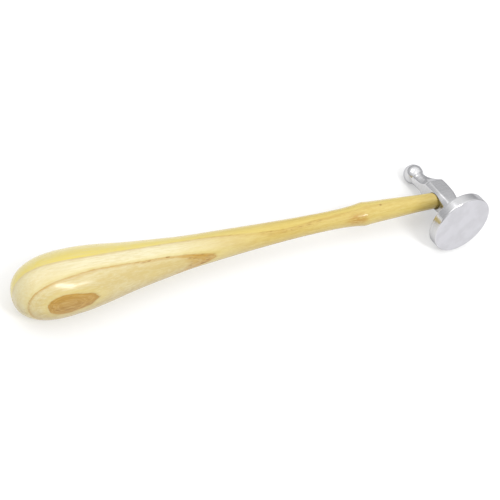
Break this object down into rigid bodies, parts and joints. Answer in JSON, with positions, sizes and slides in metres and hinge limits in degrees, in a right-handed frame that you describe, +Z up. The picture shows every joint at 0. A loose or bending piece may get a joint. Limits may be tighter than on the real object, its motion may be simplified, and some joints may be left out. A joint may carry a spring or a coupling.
{
  "type": "chasing hammer",
  "caption": "Jeweller's chasing hammer with a flat round face, a ball peen and a slim turned wooden handle that swells into a pear-shaped grip.",
  "frame": {"origin": "middle of the underside of the bounding box, on the surface the hammer lies on", "axes": "+X along the handle from its bulb to the head, +Y from the flat face's side to the ball's side, +Z up; the hammer lies on its bulb, the back rim of its face and its ball, so the flat face looks up about 16 degrees"},
  "size_m": [0.2358, 0.0502, 0.0322],
  "materials": {
    "polished_steel": "polished bright, satin on the flat face",
    "lacquered_ash": "sanded and clear lacquered, semi-gloss",
    "wedge_wood": "bare",
    "wedge_steel": "plain"
  },
  "bodies": {
    "root": {"hammer_head": "polished_steel", "handle": "lacquered_ash", "wooden_wedge": "wedge_wood", "steel_wedge": "wedge_steel"}
  },
  "joints": []
}
